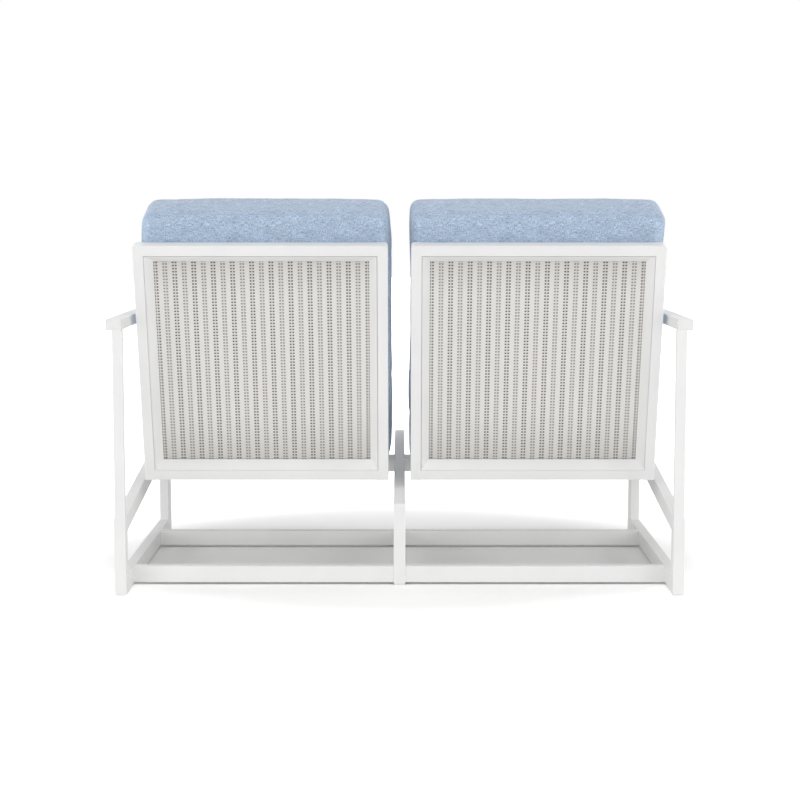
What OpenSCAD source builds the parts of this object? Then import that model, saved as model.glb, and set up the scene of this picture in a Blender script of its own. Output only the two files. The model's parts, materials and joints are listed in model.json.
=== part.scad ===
// Outdoor rocking bench for two: a fixed sled frame with arms, and two seats that rock one by one.
// The front faces -Y, +X is the sitter's left, and the origin is on the floor under the middle.

/* [Bench] */
// Width over the armrests
bench_w = 1376; // [1250:1:1500]
// Depth from the rear legs to the front legs
bench_d = 860; // [820:1:920]
// Height of the top of the armrests
arm_top_h = 659; // [600:1:700]
// Slope of the seat rails, rising to the front, in degrees
rail_slope = 7.1; // [6:0.1:8.5]
// Height of the top of the seat rails at the back of the bench
rail_rear_h = 186; // [170:1:205]

/* [Frame tubes] */
// Width of the floor rails, seat rails and side posts
rail_w = 27; // [22:0.5:32]
// Height of the floor rails and seat rails
rail_h = 40; // [34:1:46]
// Depth of the rear posts
post_d = 40; // [32:1:48]
// Width of the middle rear post
mid_post_w = 29; // [27:0.5:34]
// Width of the legs under the arms
leg_w = 25; // [20:0.5:27]
// Depth of the rear legs
rear_leg_d = 19; // [15:0.5:24]
// Depth of the front legs
front_leg_d = 60; // [45:1:70]
// Width of the armrests
arm_w = 36; // [30:0.5:42]
// Thickness of the armrests
arm_t = 26.5; // [18:0.5:30]
// Offset of the armrests outward from the inner side of the legs
arm_offset = 2; // [0:0.25:2]
// Depth of the front and rear stretchers
stretcher_d = 27; // [22:0.5:32]
// Depth of the cross beams that carry the seats
beam_d = 52; // [46:1:58]
// Height of the cross beams
beam_h = 34; // [30:1:38]
// Wall of every frame tube
tube_wall = 2; // [1.5:0.1:2.5]
// Radius of the long edges of the tubes
edge_r = 2; // [1.5:0.25:4]

/* [Places along the depth] */
// From the back of the bench to the middle rear post
mid_post_inset = 125; // [100:1:150]
// From the back of the bench to the rear stretcher
rear_stretcher_inset = 133; // [125:1:140]
// From the back of the bench to the front stretcher
front_stretcher_inset = 625; // [600:1:650]
// From the back of the bench to the middle of the cross beams
beam_inset = 566; // [550:1:580]

/* [Seats] */
// Clearance between a seat and the side rail beside it
side_gap = 10.75; // [8:0.25:16]
// Clearance between a seat and the middle rail
mid_gap = 14.25; // [8:0.25:18]
// Lift of the seat frame above the line of the seat rails
seat_lift = 18; // [16:0.5:22]
// From the middle of the beam back to the rear face of the back frame, along the slope
back_reach = 296; // [280:1:305]
// From the middle of the beam forward to the front of the seat frame, along the slope
front_reach = 288; // [265:1:290]
// Height of the back frame, along its lean
back_h = 613.5; // [560:0.5:680]
// Lean of the back from square to the seat, in degrees
back_lean = 9.1; // [5:0.1:14]
// Width of the seat and back frame tubes
seat_tube = 26; // [22:0.5:30]
// Height of the seat frame tubes
seat_tube_h = 36; // [32:0.5:40]
// Depth of the back frame tubes, from the rear face forward
back_tube_d = 34; // [34:0.5:40]
// Radius of the top corners of the back frame
back_corner_r = 8; // [4:0.5:14]

/* [Slings] */
// Width of the bevelled lip of the back sling frame
lip_w = 19; // [14:0.5:22]
// Depth to which the lip slopes in
lip_drop = 25; // [20:0.5:25]
// Shadow gap around the back sling frame
lip_gap = 0.75; // [0.5:0.25:2]
// Setback of the lip's outer edge from the rear face of the back frame
lip_setback = 0.5; // [0.5:0.25:1]
// Depth of the back's sling below the rear face of the back frame
sling_depth = 28; // [28:0.5:31]
// Thickness of the sling fabric
sling_t = 1.6; // [1:0.1:2]
// Width of the bars of the seat sling frame
deck_bar_w = 20; // [16:0.5:24]

/* [Cushions] */
// Clearance between a cushion and the inner side of the legs
cushion_side_gap = 16.25; // [10:0.25:30]
// Gap between the cushions of the two seats
cushion_mid_gap = 37; // [20:0.5:60]
// Thickness of the cushions at their edges
cushion_t = 146; // [110:1:160]
// Rise of a cushion's face from its edges to its middle
cushion_crown = 12; // [4:0.5:20]
// Height of the back cushion, along its lean
back_cushion_h = 520; // [460:1:540]

/* [Rocker] */
// Height of the pivot above the cross beam
pivot_lift = 24; // [23:0.25:26]
// Diameter of the pivot shaft
shaft_d = 16; // [12:0.5:18]
// Distance between the middles of the two cheeks of the rocker base
cheek_spread = 220; // [180:1:260]
// Thickness of the cheeks and of the pivot plates
cheek_t = 6; // [4:0.5:7]
// Thickness of the base's top plate and spring trays
tray_t = 4; // [3:0.5:5]
// Distance of the springs from the pivot, fore and aft
spring_reach = 95; // [88:1:100]
// Distance between the two springs on one tray
spring_spread = 140; // [110:1:160]
// Outer diameter of the return springs
spring_d = 40; // [32:1:44]
// Wire of the return springs
spring_wire = 4; // [3.5:0.25:5]
// How far a seat rocks back from rest, in degrees
rock_back = 10; // [6:0.5:10]
// How far a seat rocks forward from rest, in degrees
rock_forward = 7; // [4:0.5:10]

/* [Hidden] */

$fn = 32;
white = [0.93, 0.93, 0.92];
steel = [0.62, 0.63, 0.64];
zinc = [0.75, 0.76, 0.77];
rubber = [0.12, 0.12, 0.13];
nylon = [0.88, 0.88, 0.86];
sling_grey = [0.86, 0.84, 0.81];
fabric_blue = [0.55, 0.64, 0.76];

// One overrun serves every cut, and one size makes every half space
overrun = 5;
far = 3 * bench_w;

// Fixed frame, derived
floor_gap = 5;
side_in = bench_w / 2 - arm_w - arm_offset;
arm_x = side_in + arm_offset + arm_w / 2;
rear_y = bench_d / 2;
arm_under_h = arm_top_h - arm_t;
floor_rail_top = floor_gap + rail_h;
front_leg_y = -bench_d / 2 + front_leg_d;
beam_y = rear_y - beam_inset;
beam_z = rail_rear_h + beam_inset * tan(rail_slope);
rail_bottom_n = -rail_h;

// Glides, caps and bolts
glide_inset = 1.5;
plug_depth = 12;
plug_gap = 0.2;
cap_t = 3;
bolt_d = 8;
bolt_gap = 0.2;
head_d = 14;
head_t = 4.5;
socket_d = 5;
socket_depth = 2.5;
end_plate_t = 8;
top_plate_t = 3;
beam_bolt_share = 0.22;

// Seats, derived
seat_w = side_in - rail_w / 2 - side_gap - mid_gap;
seat_x = rail_w / 2 + mid_gap + seat_w / 2;
seat_top_n = seat_lift + seat_tube_h;
seat_in = seat_w / 2 - seat_tube;
rear_rail_gap = 1.5;
rear_rail_y = back_reach - back_tube_d / cos(back_lean) - rear_rail_gap;
cross_rail_w = 40;
cross_rail_h = 26;
cross_top_n = seat_lift + cross_rail_h;
deck_front_y = -front_reach + seat_tube;
deck_rear_y = rear_rail_y - seat_tube;
deck_n = (cross_top_n + seat_top_n) / 2;
groove_gap = 0.4;
groove_depth = 7;
groove_t = sling_t + 2 * groove_gap;

// Back sling frame: depths run forward from the rear face of the back frame
lip_edge_depth = lip_setback + lip_drop;
lip_land = 1;
flange_depth = (lip_edge_depth + sling_depth) / 2;
back_foot = back_tube_d;
back_window_w = seat_w - 2 * seat_tube;
back_window_h = back_h - 2 * seat_tube;
back_open_w = back_window_w - 2 * (lip_gap + lip_w);
back_open_h = back_window_h - 2 * (lip_gap + lip_w);

// Rocker, derived
pivot_n = pivot_lift;
beam_fit = 0.5;
tray_rise = 4;
tray_lip = 3;
tray_n = tray_rise - beam_h;
tray_top_n = tray_n + tray_t;
cheek_x = cheek_spread / 2;
ear_r = 14;
tray_start = spring_reach - spring_d / 2 - tray_lip;
tray_end = spring_reach + spring_d / 2 + tray_lip;
cheek_drop = 18;
shoulder_reach = 40;
shoulder_lift = 4;
spigot_wall_gap = 2;
spigot_h = 8;
bush_wall = 3;
bush_flange_t = 3;
bush_flange_r = 15;
run_gap = 0.3;
shaft_gap = 0.05;
press_gap = 0.02;
plate_x = cheek_x + cheek_t + bush_flange_t + 2 * run_gap;
plate_r = 15;
plate_lift = 10;
plate_half = spring_reach - cross_rail_w / 2;
clip_x = plate_x + cheek_t / 2 + run_gap;
clip_t = 2;
clip_r = 13;
shaft_end = 4;
shaft_half = clip_x + clip_t + shaft_end;
pad_r = 12;
pad_clear = 0.6;
base_bolt_x = 70;
base_bolt_y = 14;
hex_d = 13;
hex_t = 5.5;

// Springs: turns in all, with those that lie flat at each end
coil_turns = 4.5;
flat_turns = 0.5;
coil_steps = 8;
coil_sides = 6;

// Cushions
cushion_gap = 0.4;
cushion_w = side_in - cushion_side_gap - cushion_mid_gap / 2;
cushion_x = (cushion_mid_gap + cushion_w) / 2;
cushion_side_bulge = 5;
cushion_tuck = 7.5;
cushion_tuck_power = 6;
cushion_draw_share = 0.012;
cushion_power = 12;
cushion_points = 40;
seat_cushion_rear_gap = 4;
seat_cushion_l = back_reach + front_reach - back_tube_d - seat_cushion_rear_gap;
seat_cushion_rear_y = seat_cushion_l - front_reach;
seat_cushion_top_n = seat_top_n + cushion_gap + cushion_t;

// The back cushion's foot rests on the seat cushion's rear edge
back_cushion_foot = (seat_cushion_top_n + cushion_gap - seat_lift
    - (back_reach - seat_cushion_rear_y) * tan(back_lean)) * cos(back_lean);

// Shapes that several pieces use

module rounded_section(w, d) {
    square([w - 2 * edge_r, d], center = true);
    square([w, d - 2 * edge_r], center = true);
    for (sx = [-1, 1], sy = [-1, 1])
        translate([sx * (w / 2 - edge_r), sy * (d / 2 - edge_r)]) circle(edge_r);
}

module bar_up(length, w, d) {
    linear_extrude(length) rounded_section(w, d);
}

module cavity_up(length, w, d) {
    linear_extrude(length) square([w - 2 * tube_wall, d - 2 * tube_wall], center = true);
}

module tube_up(length, w, d) {
    difference() {
        bar_up(length, w, d);
        translate([0, 0, -overrun]) cavity_up(length + 2 * overrun, w, d);
    }
}

// Runs forward from the origin, with w along X and h along Z
module tube_forward(length, w, h) {
    rotate([90, 0, 0]) tube_up(length, w, h);
}

// Runs along +X from the origin, with h along Z and d along Y
module tube_across(length, h, d) {
    rotate([0, 90, 0]) tube_up(length, h, d);
}

module box_from(low, high) {
    translate(low) cube(high - low);
}

// A plate of w by l, centred, between two heights
module slab(w, l, low, high) {
    translate([0, 0, low]) linear_extrude(high - low) square([w, l], center = true);
}

// The frame of the sloping rails: x across, y to the rear, z square to the slope,
// with its origin on the rails' top line over the middle of the cross beams
module on_slope() {
    translate([0, beam_y, beam_z]) rotate([-rail_slope, 0, 0]) children();
}

module below_slope(n) {
    on_slope() translate([-far / 2, -far / 2, n - far]) cube(far);
}

module right_side() {
    mirror([1, 0, 0]) children();
}

module button_bolt(shank) {
    difference() {
        union() {
            cylinder(d = bolt_d, h = shank);
            translate([0, 0, shank]) cylinder(d1 = head_d, d2 = head_d - head_t, h = head_t, $fn = 48);
        }
        translate([0, 0, shank + head_t - socket_depth]) cylinder(d = socket_d, h = head_t, $fn = 6);
    }
}

// Fixed frame

module floor_rail(x) {
    color(white) translate([x, rear_y - post_d, floor_gap + rail_h / 2])
        difference() {
            tube_forward(bench_d - post_d, rail_w, rail_h);
            side_bolt_holes(rear_stretcher_inset + stretcher_d / 2 - post_d);
            side_bolt_holes(front_stretcher_inset + stretcher_d / 2 - post_d);
        }
}

module side_bolt_holes(forward) {
    translate([-rail_w / 2 - overrun, -forward, 0]) rotate([0, 90, 0])
        cylinder(d = bolt_d + 2 * bolt_gap, h = rail_w + 2 * overrun);
}

module middle_floor_rail() {
    start = mid_post_inset + post_d;
    color(white) translate([0, rear_y - start, floor_gap + rail_h / 2])
        tube_forward(bench_d - start, rail_w, rail_h);
}

// A sloping rail between two upright planes, given by their distances from the back
module sloped_rail(x, from_rear, to_rear) {
    intersection() {
        on_slope() translate([x, far / 2, rail_bottom_n + rail_h / 2]) tube_forward(far, rail_w, rail_h);
        box_from([-far, rear_y - to_rear, -far], [far, rear_y - from_rear, far]);
    }
}

module side_seat_rail() {
    color(white) difference() {
        sloped_rail(side_in + rail_w / 2, post_d, bench_d - front_leg_d);
        beam_bolts_at() translate([0, 0, -overrun])
            cylinder(d = bolt_d + 2 * bolt_gap, h = rail_w + 2 * overrun);
    }
}

// The two bolts on each side that hold a cross beam, with z along the bolt to the outside
module beam_bolts_at() {
    on_slope() for (s = [-1, 1])
        translate([side_in, s * beam_d * beam_bolt_share, -beam_h / 2]) rotate([0, 90, 0]) children();
}

module middle_seat_rail() {
    color(white) sloped_rail(0, mid_post_inset + post_d, bench_d);
}

// A post whose mouth is closed by a welded plate on the slope of the rails
module rear_post(x, w, from_rear) {
    foot = [x, rear_y - from_rear - post_d / 2, floor_gap];
    color(white) difference() {
        intersection() {
            translate(foot) bar_up(far, w, post_d);
            below_slope(0);
        }
        intersection() {
            translate(foot - [0, 0, overrun]) cavity_up(far, w, post_d);
            below_slope(-top_plate_t);
        }
    }
}

module middle_front_post() {
    color(white) intersection() {
        translate([0, front_leg_y - front_leg_d / 2, floor_rail_top]) tube_up(far, rail_w, front_leg_d);
        below_slope(rail_bottom_n);
    }
}

module rear_leg() {
    color(white) difference() {
        translate([side_in + leg_w / 2, rear_y - rear_leg_d / 2, floor_rail_top])
            tube_up(arm_under_h - floor_rail_top, leg_w, rear_leg_d);
        below_slope(0);
    }
}

module front_leg() {
    color(white) translate([side_in + leg_w / 2, front_leg_y - front_leg_d / 2, floor_rail_top])
        tube_up(arm_under_h - floor_rail_top, leg_w, front_leg_d);
}

module armrest() {
    color(white) translate([arm_x, rear_y, arm_top_h - arm_t / 2])
        tube_forward(bench_d, arm_w, arm_t);
}

// Half of a stretcher: from the middle post or rail to a floor rail, with a plate at its outer end
module stretcher_half(inset, inner_x) {
    length = side_in - inner_x;
    translate([inner_x, rear_y - inset - stretcher_d / 2, floor_gap + rail_h / 2]) difference() {
        union() {
            tube_across(length, rail_h, stretcher_d);
            translate([length - end_plate_t, 0, 0]) rotate([0, 90, 0])
                bar_up(end_plate_t, rail_h, stretcher_d);
        }
        translate([length - end_plate_t - overrun, 0, 0]) rotate([0, 90, 0])
            cylinder(d = bolt_d + 2 * bolt_gap, h = end_plate_t + 2 * overrun);
    }
}

module rear_stretchers() {
    color(white) {
        stretcher_half(rear_stretcher_inset, mid_post_w / 2);
        right_side() stretcher_half(rear_stretcher_inset, mid_post_w / 2);
    }
}

module front_stretchers() {
    color(white) {
        stretcher_half(front_stretcher_inset, rail_w / 2);
        right_side() stretcher_half(front_stretcher_inset, rail_w / 2);
    }
}

module cross_beam() {
    length = side_in - rail_w / 2;
    color(white) difference() {
        on_slope() translate([rail_w / 2, 0, -beam_h / 2]) {
            tube_across(length, beam_h, beam_d);
            translate([length - end_plate_t, 0, 0]) rotate([0, 90, 0]) bar_up(end_plate_t, beam_h, beam_d);
        }
        beam_bolts_at() translate([0, 0, -end_plate_t - overrun])
            cylinder(d = bolt_d + 2 * bolt_gap, h = end_plate_t + 2 * overrun);
        base_bolts_at() translate([0, 0, -beam_h / 2])
            cylinder(d = bolt_d + 2 * bolt_gap, h = beam_h / 2 + overrun);
    }
}

module glide(w, d) {
    linear_extrude(floor_gap) square([w - 2 * glide_inset, d - 2 * glide_inset], center = true);
}

module plug_glide(w, d) {
    glide(w, d);
    fit_w = w - 2 * tube_wall - 2 * plug_gap;
    fit_d = d - 2 * tube_wall - 2 * plug_gap;
    linear_extrude(floor_gap + plug_depth) square([fit_w, fit_d], center = true);
}

module floor_glides() {
    front_y = front_leg_y - front_leg_d / 2;
    color(nylon) {
        for (s = [-1, 1]) {
            translate([s * (side_in + rail_w / 2), rear_y - post_d / 2, 0]) plug_glide(rail_w, post_d);
            translate([s * (side_in + rail_w / 2), front_y, 0]) glide(rail_w, post_d);
        }
        translate([0, rear_y - mid_post_inset - post_d / 2, 0]) plug_glide(mid_post_w, post_d);
        translate([0, front_y, 0]) glide(rail_w, post_d);
    }
}

// A flush cap for a tube's mouth, with w along X and h along Z, facing -Y at the origin
module mouth_cap(w, h) {
    rotate([-90, 0, 0]) linear_extrude(cap_t)
        square([w - 2 * tube_wall - 2 * plug_gap, h - 2 * tube_wall - 2 * plug_gap], center = true);
}

module side_caps() {
    arm_z = arm_top_h - arm_t / 2;
    translate([arm_x, -bench_d / 2, arm_z]) mouth_cap(arm_w, arm_t);
    translate([arm_x, rear_y - cap_t, arm_z]) mouth_cap(arm_w, arm_t);
    translate([side_in + rail_w / 2, -bench_d / 2, floor_gap + rail_h / 2]) mouth_cap(rail_w, rail_h);
}

module tube_end_caps() {
    color(nylon) {
        side_caps();
        right_side() side_caps();
        translate([0, -bench_d / 2, floor_gap + rail_h / 2]) mouth_cap(rail_w, rail_h);
        intersection() {
            on_slope() translate([0, 0, rail_bottom_n + rail_h / 2]) rotate([90, 0, 0])
                linear_extrude(far) square([rail_w - 2 * tube_wall - 2 * plug_gap,
                    rail_h - 2 * tube_wall - 2 * plug_gap], center = true);
            box_from([-far, -bench_d / 2, 0], [far, -bench_d / 2 + cap_t, far]);
        }
    }
}

module side_bolts() {
    beam_bolts_at() translate([0, 0, -end_plate_t]) button_bolt(end_plate_t + rail_w);
    for (inset = [rear_stretcher_inset, front_stretcher_inset])
        translate([side_in - end_plate_t, rear_y - inset - stretcher_d / 2, floor_gap + rail_h / 2])
            rotate([0, 90, 0]) button_bolt(end_plate_t + rail_w);
}

module frame_bolts() {
    color(zinc) {
        side_bolts();
        right_side() side_bolts();
    }
}

// Rocker, in the frame of the slope with x from the middle of its seat

module at_seat() {
    on_slope() translate([seat_x, 0, 0]) children();
}

module at_pivot() {
    at_seat() translate([0, 0, pivot_n]) children();
}

module base_bolts_at() {
    at_seat() for (sx = [-1, 1], sy = [-1, 1])
        translate([sx * base_bolt_x, sy * base_bolt_y, 0]) children();
}

// A cheek stands over the beam, carries the shaft in its ear and both trays at its ends
module cheek() {
    notch = beam_d / 2 + beam_fit;
    rotate([90, 0, 90]) linear_extrude(cheek_t, center = true) difference() {
        union() {
            polygon([
                [-tray_end, tray_n], [-notch, tray_n], [-notch, 0], [notch, 0], [notch, tray_n],
                [tray_end, tray_n], [tray_end, -cheek_drop], [tray_start, -cheek_drop],
                [shoulder_reach, shoulder_lift], [ear_r, pivot_n], [-ear_r, pivot_n],
                [-shoulder_reach, shoulder_lift], [-tray_start, -cheek_drop], [-tray_end, -cheek_drop]
            ]);
            translate([0, pivot_n]) circle(ear_r);
        }
        translate([0, pivot_n]) circle(shaft_d / 2 + press_gap);
    }
}

module rocker_base() {
    inner = cheek_x - cheek_t / 2;
    color(steel) at_seat() {
        for (s = [-1, 1]) translate([s * cheek_x, 0, 0]) cheek();
        difference() {
            box_from([-inner, -beam_d / 2, 0], [inner, beam_d / 2, tray_t]);
            for (sx = [-1, 1], sy = [-1, 1]) translate([sx * base_bolt_x, sy * base_bolt_y, -overrun])
                cylinder(d = bolt_d + 2 * bolt_gap, h = tray_t + 2 * overrun);
        }
        for (s = [-1, 1]) {
            box_from([-inner, min(s * tray_start, s * tray_end), tray_n],
                [inner, max(s * tray_start, s * tray_end), tray_top_n]);
            for (sx = [-1, 1]) translate([sx * spring_spread / 2, s * spring_reach, tray_n])
                cylinder(r = spring_d / 2 - spring_wire - spigot_wall_gap, h = tray_t + spigot_h);
        }
    }
}

module hex_bolts() {
    base_bolts_at() {
        translate([0, 0, tray_t]) cylinder(d = hex_d / cos(30), h = hex_t, $fn = 6);
        translate([0, 0, -beam_h / 2]) cylinder(d = bolt_d, h = beam_h / 2 + tray_t);
    }
}

module rocker_bolts() {
    color(zinc) {
        hex_bolts();
        right_side() hex_bolts();
    }
}

module pivot_shaft() {
    color(zinc) at_pivot() rotate([0, 90, 0]) cylinder(d = shaft_d, h = 2 * shaft_half, center = true);
}

module clip_pair() {
    at_pivot() for (s = [-1, 1]) translate([s * (clip_x + clip_t / 2), 0, 0]) rotate([0, 90, 0])
        difference() {
            cylinder(r = clip_r, h = clip_t, center = true);
            cylinder(r = shaft_d / 2 + press_gap, h = clip_t + 2 * overrun, center = true);
        }
}

module shaft_clips() {
    color(zinc) {
        clip_pair();
        right_side() clip_pair();
    }
}

// A closed skin over a list of rings, with a point in the middle of the first and the last
module skin(rings, first, last) {
    n = len(rings[0]);
    count = len(rings);
    points = concat([for (ring = rings) each ring], [first, last]);
    faces = concat(
        [for (k = [0:n - 1]) [n * count, k, (k + 1) % n]],
        [for (r = [0:count - 2], k = [0:n - 1]) each [
            [r * n + k, (r + 1) * n + k, (r + 1) * n + (k + 1) % n],
            [r * n + k, (r + 1) * n + (k + 1) % n, r * n + (k + 1) % n]
        ]],
        [for (k = [0:n - 1]) [n * count + 1, (count - 1) * n + (k + 1) % n, (count - 1) * n + k]]
    );
    polyhedron(points, faces);
}

// The middle of the wire after a number of turns, with flats of the wire on both seats
coil_r = (spring_d - spring_wire) / 2;
coil_flat = spring_wire / 2 * cos(180 / coil_sides);
coil_rise = seat_lift - tray_top_n - 2 * coil_flat;
function coil_point(turns) = [
    coil_r * cos(360 * turns), coil_r * sin(360 * turns),
    coil_flat + coil_rise * min(1, max(0, (turns - flat_turns) / (coil_turns - 2 * flat_turns)))
];
function coil_ring(turns) = let (middle = coil_point(turns), out = [middle[0], middle[1], 0] / coil_r) [
    for (k = [0:coil_sides - 1]) let (a = 360 * k / coil_sides)
        middle + spring_wire / 2 * (cos(a) * out - [0, 0, sin(a)])
];
COIL_STEPS = [for (k = [0:coil_turns * coil_steps]) k / coil_steps];
coil_least_gap = min([for (a = COIL_STEPS, b = COIL_STEPS) if (b - a > flat_turns)
    norm(coil_point(a) - coil_point(b))]) - spring_wire;
echo(coil_least_gap = coil_least_gap);

// Two coil springs between a tray and a cross rail
module springs(s) {
    color(steel) at_seat() for (sx = [-1, 1])
        translate([sx * spring_spread / 2, s * spring_reach, tray_top_n])
            skin([for (turns = COIL_STEPS) coil_ring(turns)], coil_point(0), coil_point(coil_turns));
}

// Height above the slope of the cross rail's underside, over the outer edge of a pad, at a limit
function stop_n(angle) = pivot_n - (pivot_n - seat_lift) * cos(angle)
    - (spring_reach + pad_r) * sin(angle);

module stop_pad(s, angle) {
    top_n = stop_n(angle) - pad_clear;
    translate([0, s * spring_reach, tray_top_n]) cylinder(r = pad_r, h = top_n - tray_top_n);
}

module stop_pads() {
    color(rubber) at_seat() {
        stop_pad(1, rock_back);
        stop_pad(-1, rock_forward);
    }
}

module pivot_plates() {
    color(steel) at_seat() for (s = [-1, 1]) translate([s * plate_x, 0, 0])
        rotate([90, 0, 90]) linear_extrude(cheek_t, center = true) difference() {
            union() {
                translate([-plate_half, plate_lift]) square([2 * plate_half, cross_top_n - plate_lift]);
                translate([0, pivot_n]) circle(plate_r);
            }
            translate([0, pivot_n]) circle(shaft_d / 2 + bush_wall + press_gap);
        }
}

module pivot_bushes() {
    start = cheek_x + cheek_t / 2 + run_gap;
    color(nylon) at_pivot() for (s = [0, 1]) mirror([s, 0, 0]) translate([start, 0, 0]) rotate([0, 90, 0])
        difference() {
            union() {
                cylinder(r = bush_flange_r, h = bush_flange_t);
                cylinder(r = shaft_d / 2 + bush_wall, h = plate_x + cheek_t / 2 - start);
            }
            translate([0, 0, -overrun]) cylinder(r = shaft_d / 2 + shaft_gap, h = cheek_x);
        }
}

// Seat frame, back frame and slings

// The back's own frame: y from its rear face, z up along its lean
module at_back() {
    at_seat() translate([0, back_reach, seat_lift]) rotate([-back_lean, 0, 0]) children();
}

module back_slab() {
    at_back() box_from([-far, -back_tube_d, -far], [far, far, far]);
}

module seat_bars(hollow) {
    wall = hollow ? tube_wall : 0;
    side_l = back_reach + front_reach;
    mid_n = seat_lift + seat_tube_h / 2;
    for (s = [-1, 1]) translate([s * (seat_w / 2 - seat_tube / 2), back_reach, mid_n])
        seat_bar_y(side_l - (hollow ? seat_tube / 2 : 0), hollow);
    for (y = [-front_reach + seat_tube / 2, rear_rail_y - seat_tube / 2])
        translate([0, y, mid_n]) seat_bar_x(seat_tube_h, seat_tube, hollow);
    for (s = [-1, 1]) translate([0, s * spring_reach, seat_lift + cross_rail_h / 2])
        seat_bar_x(cross_rail_h, cross_rail_w, hollow);
}

module seat_bar_y(length, hollow) {
    rotate([90, 0, 0]) {
        if (hollow) cavity_up(length, seat_tube, seat_tube_h);
        else bar_up(length, seat_tube, seat_tube_h);
    }
}

module seat_bar_x(h, d, hollow) {
    reach = 2 * seat_in + seat_tube;
    translate([-reach / 2, 0, 0]) rotate([0, 90, 0]) {
        if (hollow) cavity_up(reach, h, d);
        else bar_up(reach, h, d);
    }
}

module seat_frame() {
    color(white) difference() {
        at_seat() seat_bars(false);
        at_seat() seat_bars(true);
        back_slab();
    }
}

module back_outline() {
    translate([-seat_w / 2, -back_foot]) square([seat_w, back_h + back_foot - back_corner_r]);
    translate([-seat_w / 2 + back_corner_r, -back_foot])
        square([seat_w - 2 * back_corner_r, back_h + back_foot]);
    for (s = [-1, 1]) translate([s * (seat_w / 2 - back_corner_r), back_h - back_corner_r])
        circle(back_corner_r);
}

module back_bars(hollow) {
    reach = seat_w - seat_tube;
    top = hollow ? back_h - seat_tube / 2 : back_h;
    for (s = [-1, 1]) translate([s * (seat_w / 2 - seat_tube / 2), -back_tube_d / 2, -back_foot]) {
        if (hollow) cavity_up(top + back_foot, seat_tube, back_tube_d);
        else bar_up(top + back_foot, seat_tube, back_tube_d);
    }
    for (z = [seat_tube / 2, back_h - seat_tube / 2])
        translate([-reach / 2, -back_tube_d / 2, z]) rotate([0, 90, 0]) {
            if (hollow) cavity_up(reach, seat_tube, back_tube_d);
            else bar_up(reach, seat_tube, back_tube_d);
        }
}

module back_frame() {
    color(white) difference() {
        at_back() intersection() {
            back_bars(false);
            rotate([90, 0, 0]) linear_extrude(far, center = true) back_outline();
        }
        at_back() back_bars(true);
        at_seat() translate([-far / 2, -far / 2, seat_lift - far]) cube(far);
    }
}

// The back's window, centred: x across, y up along the lean, z from the rear face to the rear
module on_back_window() {
    at_back() translate([0, 0, seat_tube + back_window_h / 2]) rotate([90, 0, 0]) mirror([0, 0, 1])
        children();
}

// A block between two heights whose width and length change evenly from one size to the other
module tapered_block(low_size, high_size, low, high) {
    corners = [[-1, -1], [1, -1], [1, 1], [-1, 1]];
    polyhedron(
        concat(
            [for (c = corners) [c[0] * low_size[0] / 2, c[1] * low_size[1] / 2, low]],
            [for (c = corners) [c[0] * high_size[0] / 2, c[1] * high_size[1] / 2, high]]
        ),
        [[0, 1, 2, 3], [7, 6, 5, 4], [0, 4, 5, 1], [1, 5, 6, 2], [2, 6, 7, 3], [3, 7, 4, 0]]
    );
}

// What the bevel of the lip takes away: it meets the opening at the lip's inner edge
module lip_bevel() {
    slope_w = lip_w - lip_land;
    reach = slope_w / lip_drop * overrun;
    opening = [back_open_w, back_open_h];
    inner = opening - 2 * [reach, reach];
    outer = opening + 2 * [slope_w + reach, slope_w + reach];
    tapered_block(inner, outer, -lip_edge_depth - overrun, -lip_setback + overrun);
}

module back_sling_frame() {
    lip_size = [back_window_w - 2 * lip_gap, back_window_h - 2 * lip_gap];
    color(white) on_back_window() difference() {
        union() {
            slab(back_window_w, back_window_h, -back_tube_d, -flange_depth);
            slab(lip_size[0], lip_size[1], -sling_depth, -lip_setback);
        }
        slab(back_open_w, back_open_h, -back_tube_d - overrun, overrun);
        slab(back_open_w + 2 * groove_depth, back_open_h + 2 * groove_depth,
            -sling_depth - groove_t / 2, -sling_depth + groove_t / 2);
        lip_bevel();
    }
}

module back_sling() {
    hold = 2 * (groove_depth - groove_gap);
    color(sling_grey) on_back_window()
        slab(back_open_w + hold, back_open_h + hold, -sling_depth - sling_t / 2, -sling_depth + sling_t / 2);
}

module at_deck() {
    at_seat() translate([0, (deck_front_y + deck_rear_y) / 2, 0]) children();
}

module seat_sling_frame() {
    w = 2 * seat_in;
    l = deck_rear_y - deck_front_y;
    opening = 2 * deck_bar_w;
    groove = 2 * (deck_bar_w - groove_depth);
    color(white) at_deck() difference() {
        slab(w, l, cross_top_n, seat_top_n);
        slab(w - opening, l - opening, cross_top_n - overrun, seat_top_n + overrun);
        slab(w - groove, l - groove, deck_n - groove_t / 2, deck_n + groove_t / 2);
    }
}

module seat_sling() {
    trim = 2 * (deck_bar_w - groove_depth + groove_gap);
    l = deck_rear_y - deck_front_y - trim;
    color(sling_grey) at_deck() slab(2 * seat_in - trim, l, deck_n - sling_t / 2, deck_n + sling_t / 2);
}

module seat_caps() {
    trim = 2 * (tube_wall + plug_gap);
    color(nylon) intersection() {
        at_back() for (s = [-1, 1]) translate([s * (seat_w - seat_tube) / 2, -back_tube_d / 2, 0])
            slab(seat_tube - trim, back_tube_d - trim, -far / 2, far / 2);
        at_seat() box_from([-far, -far, seat_lift], [far, far, seat_lift + cap_t]);
    }
}

// Cushions: rings of points stacked from the lower face to the upper one

// A point of the outline at an angle, a rounded rectangle whose sides are drawn in a little
function outline_point(angle, a, b) = let (
    c = cos(angle), s = sin(angle),
    x = a * sign(c) * pow(abs(c), 2 / cushion_power),
    y = b * sign(s) * pow(abs(s), 2 / cushion_power)
) [x * (1 - cushion_draw_share * (1 - pow(y / b, 2))), y * (1 - cushion_draw_share * (1 - pow(x / a, 2)))];

function dome(x, y, a, b) = (1 - pow(x / a, 2)) * (1 - pow(y / b, 2));

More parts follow.
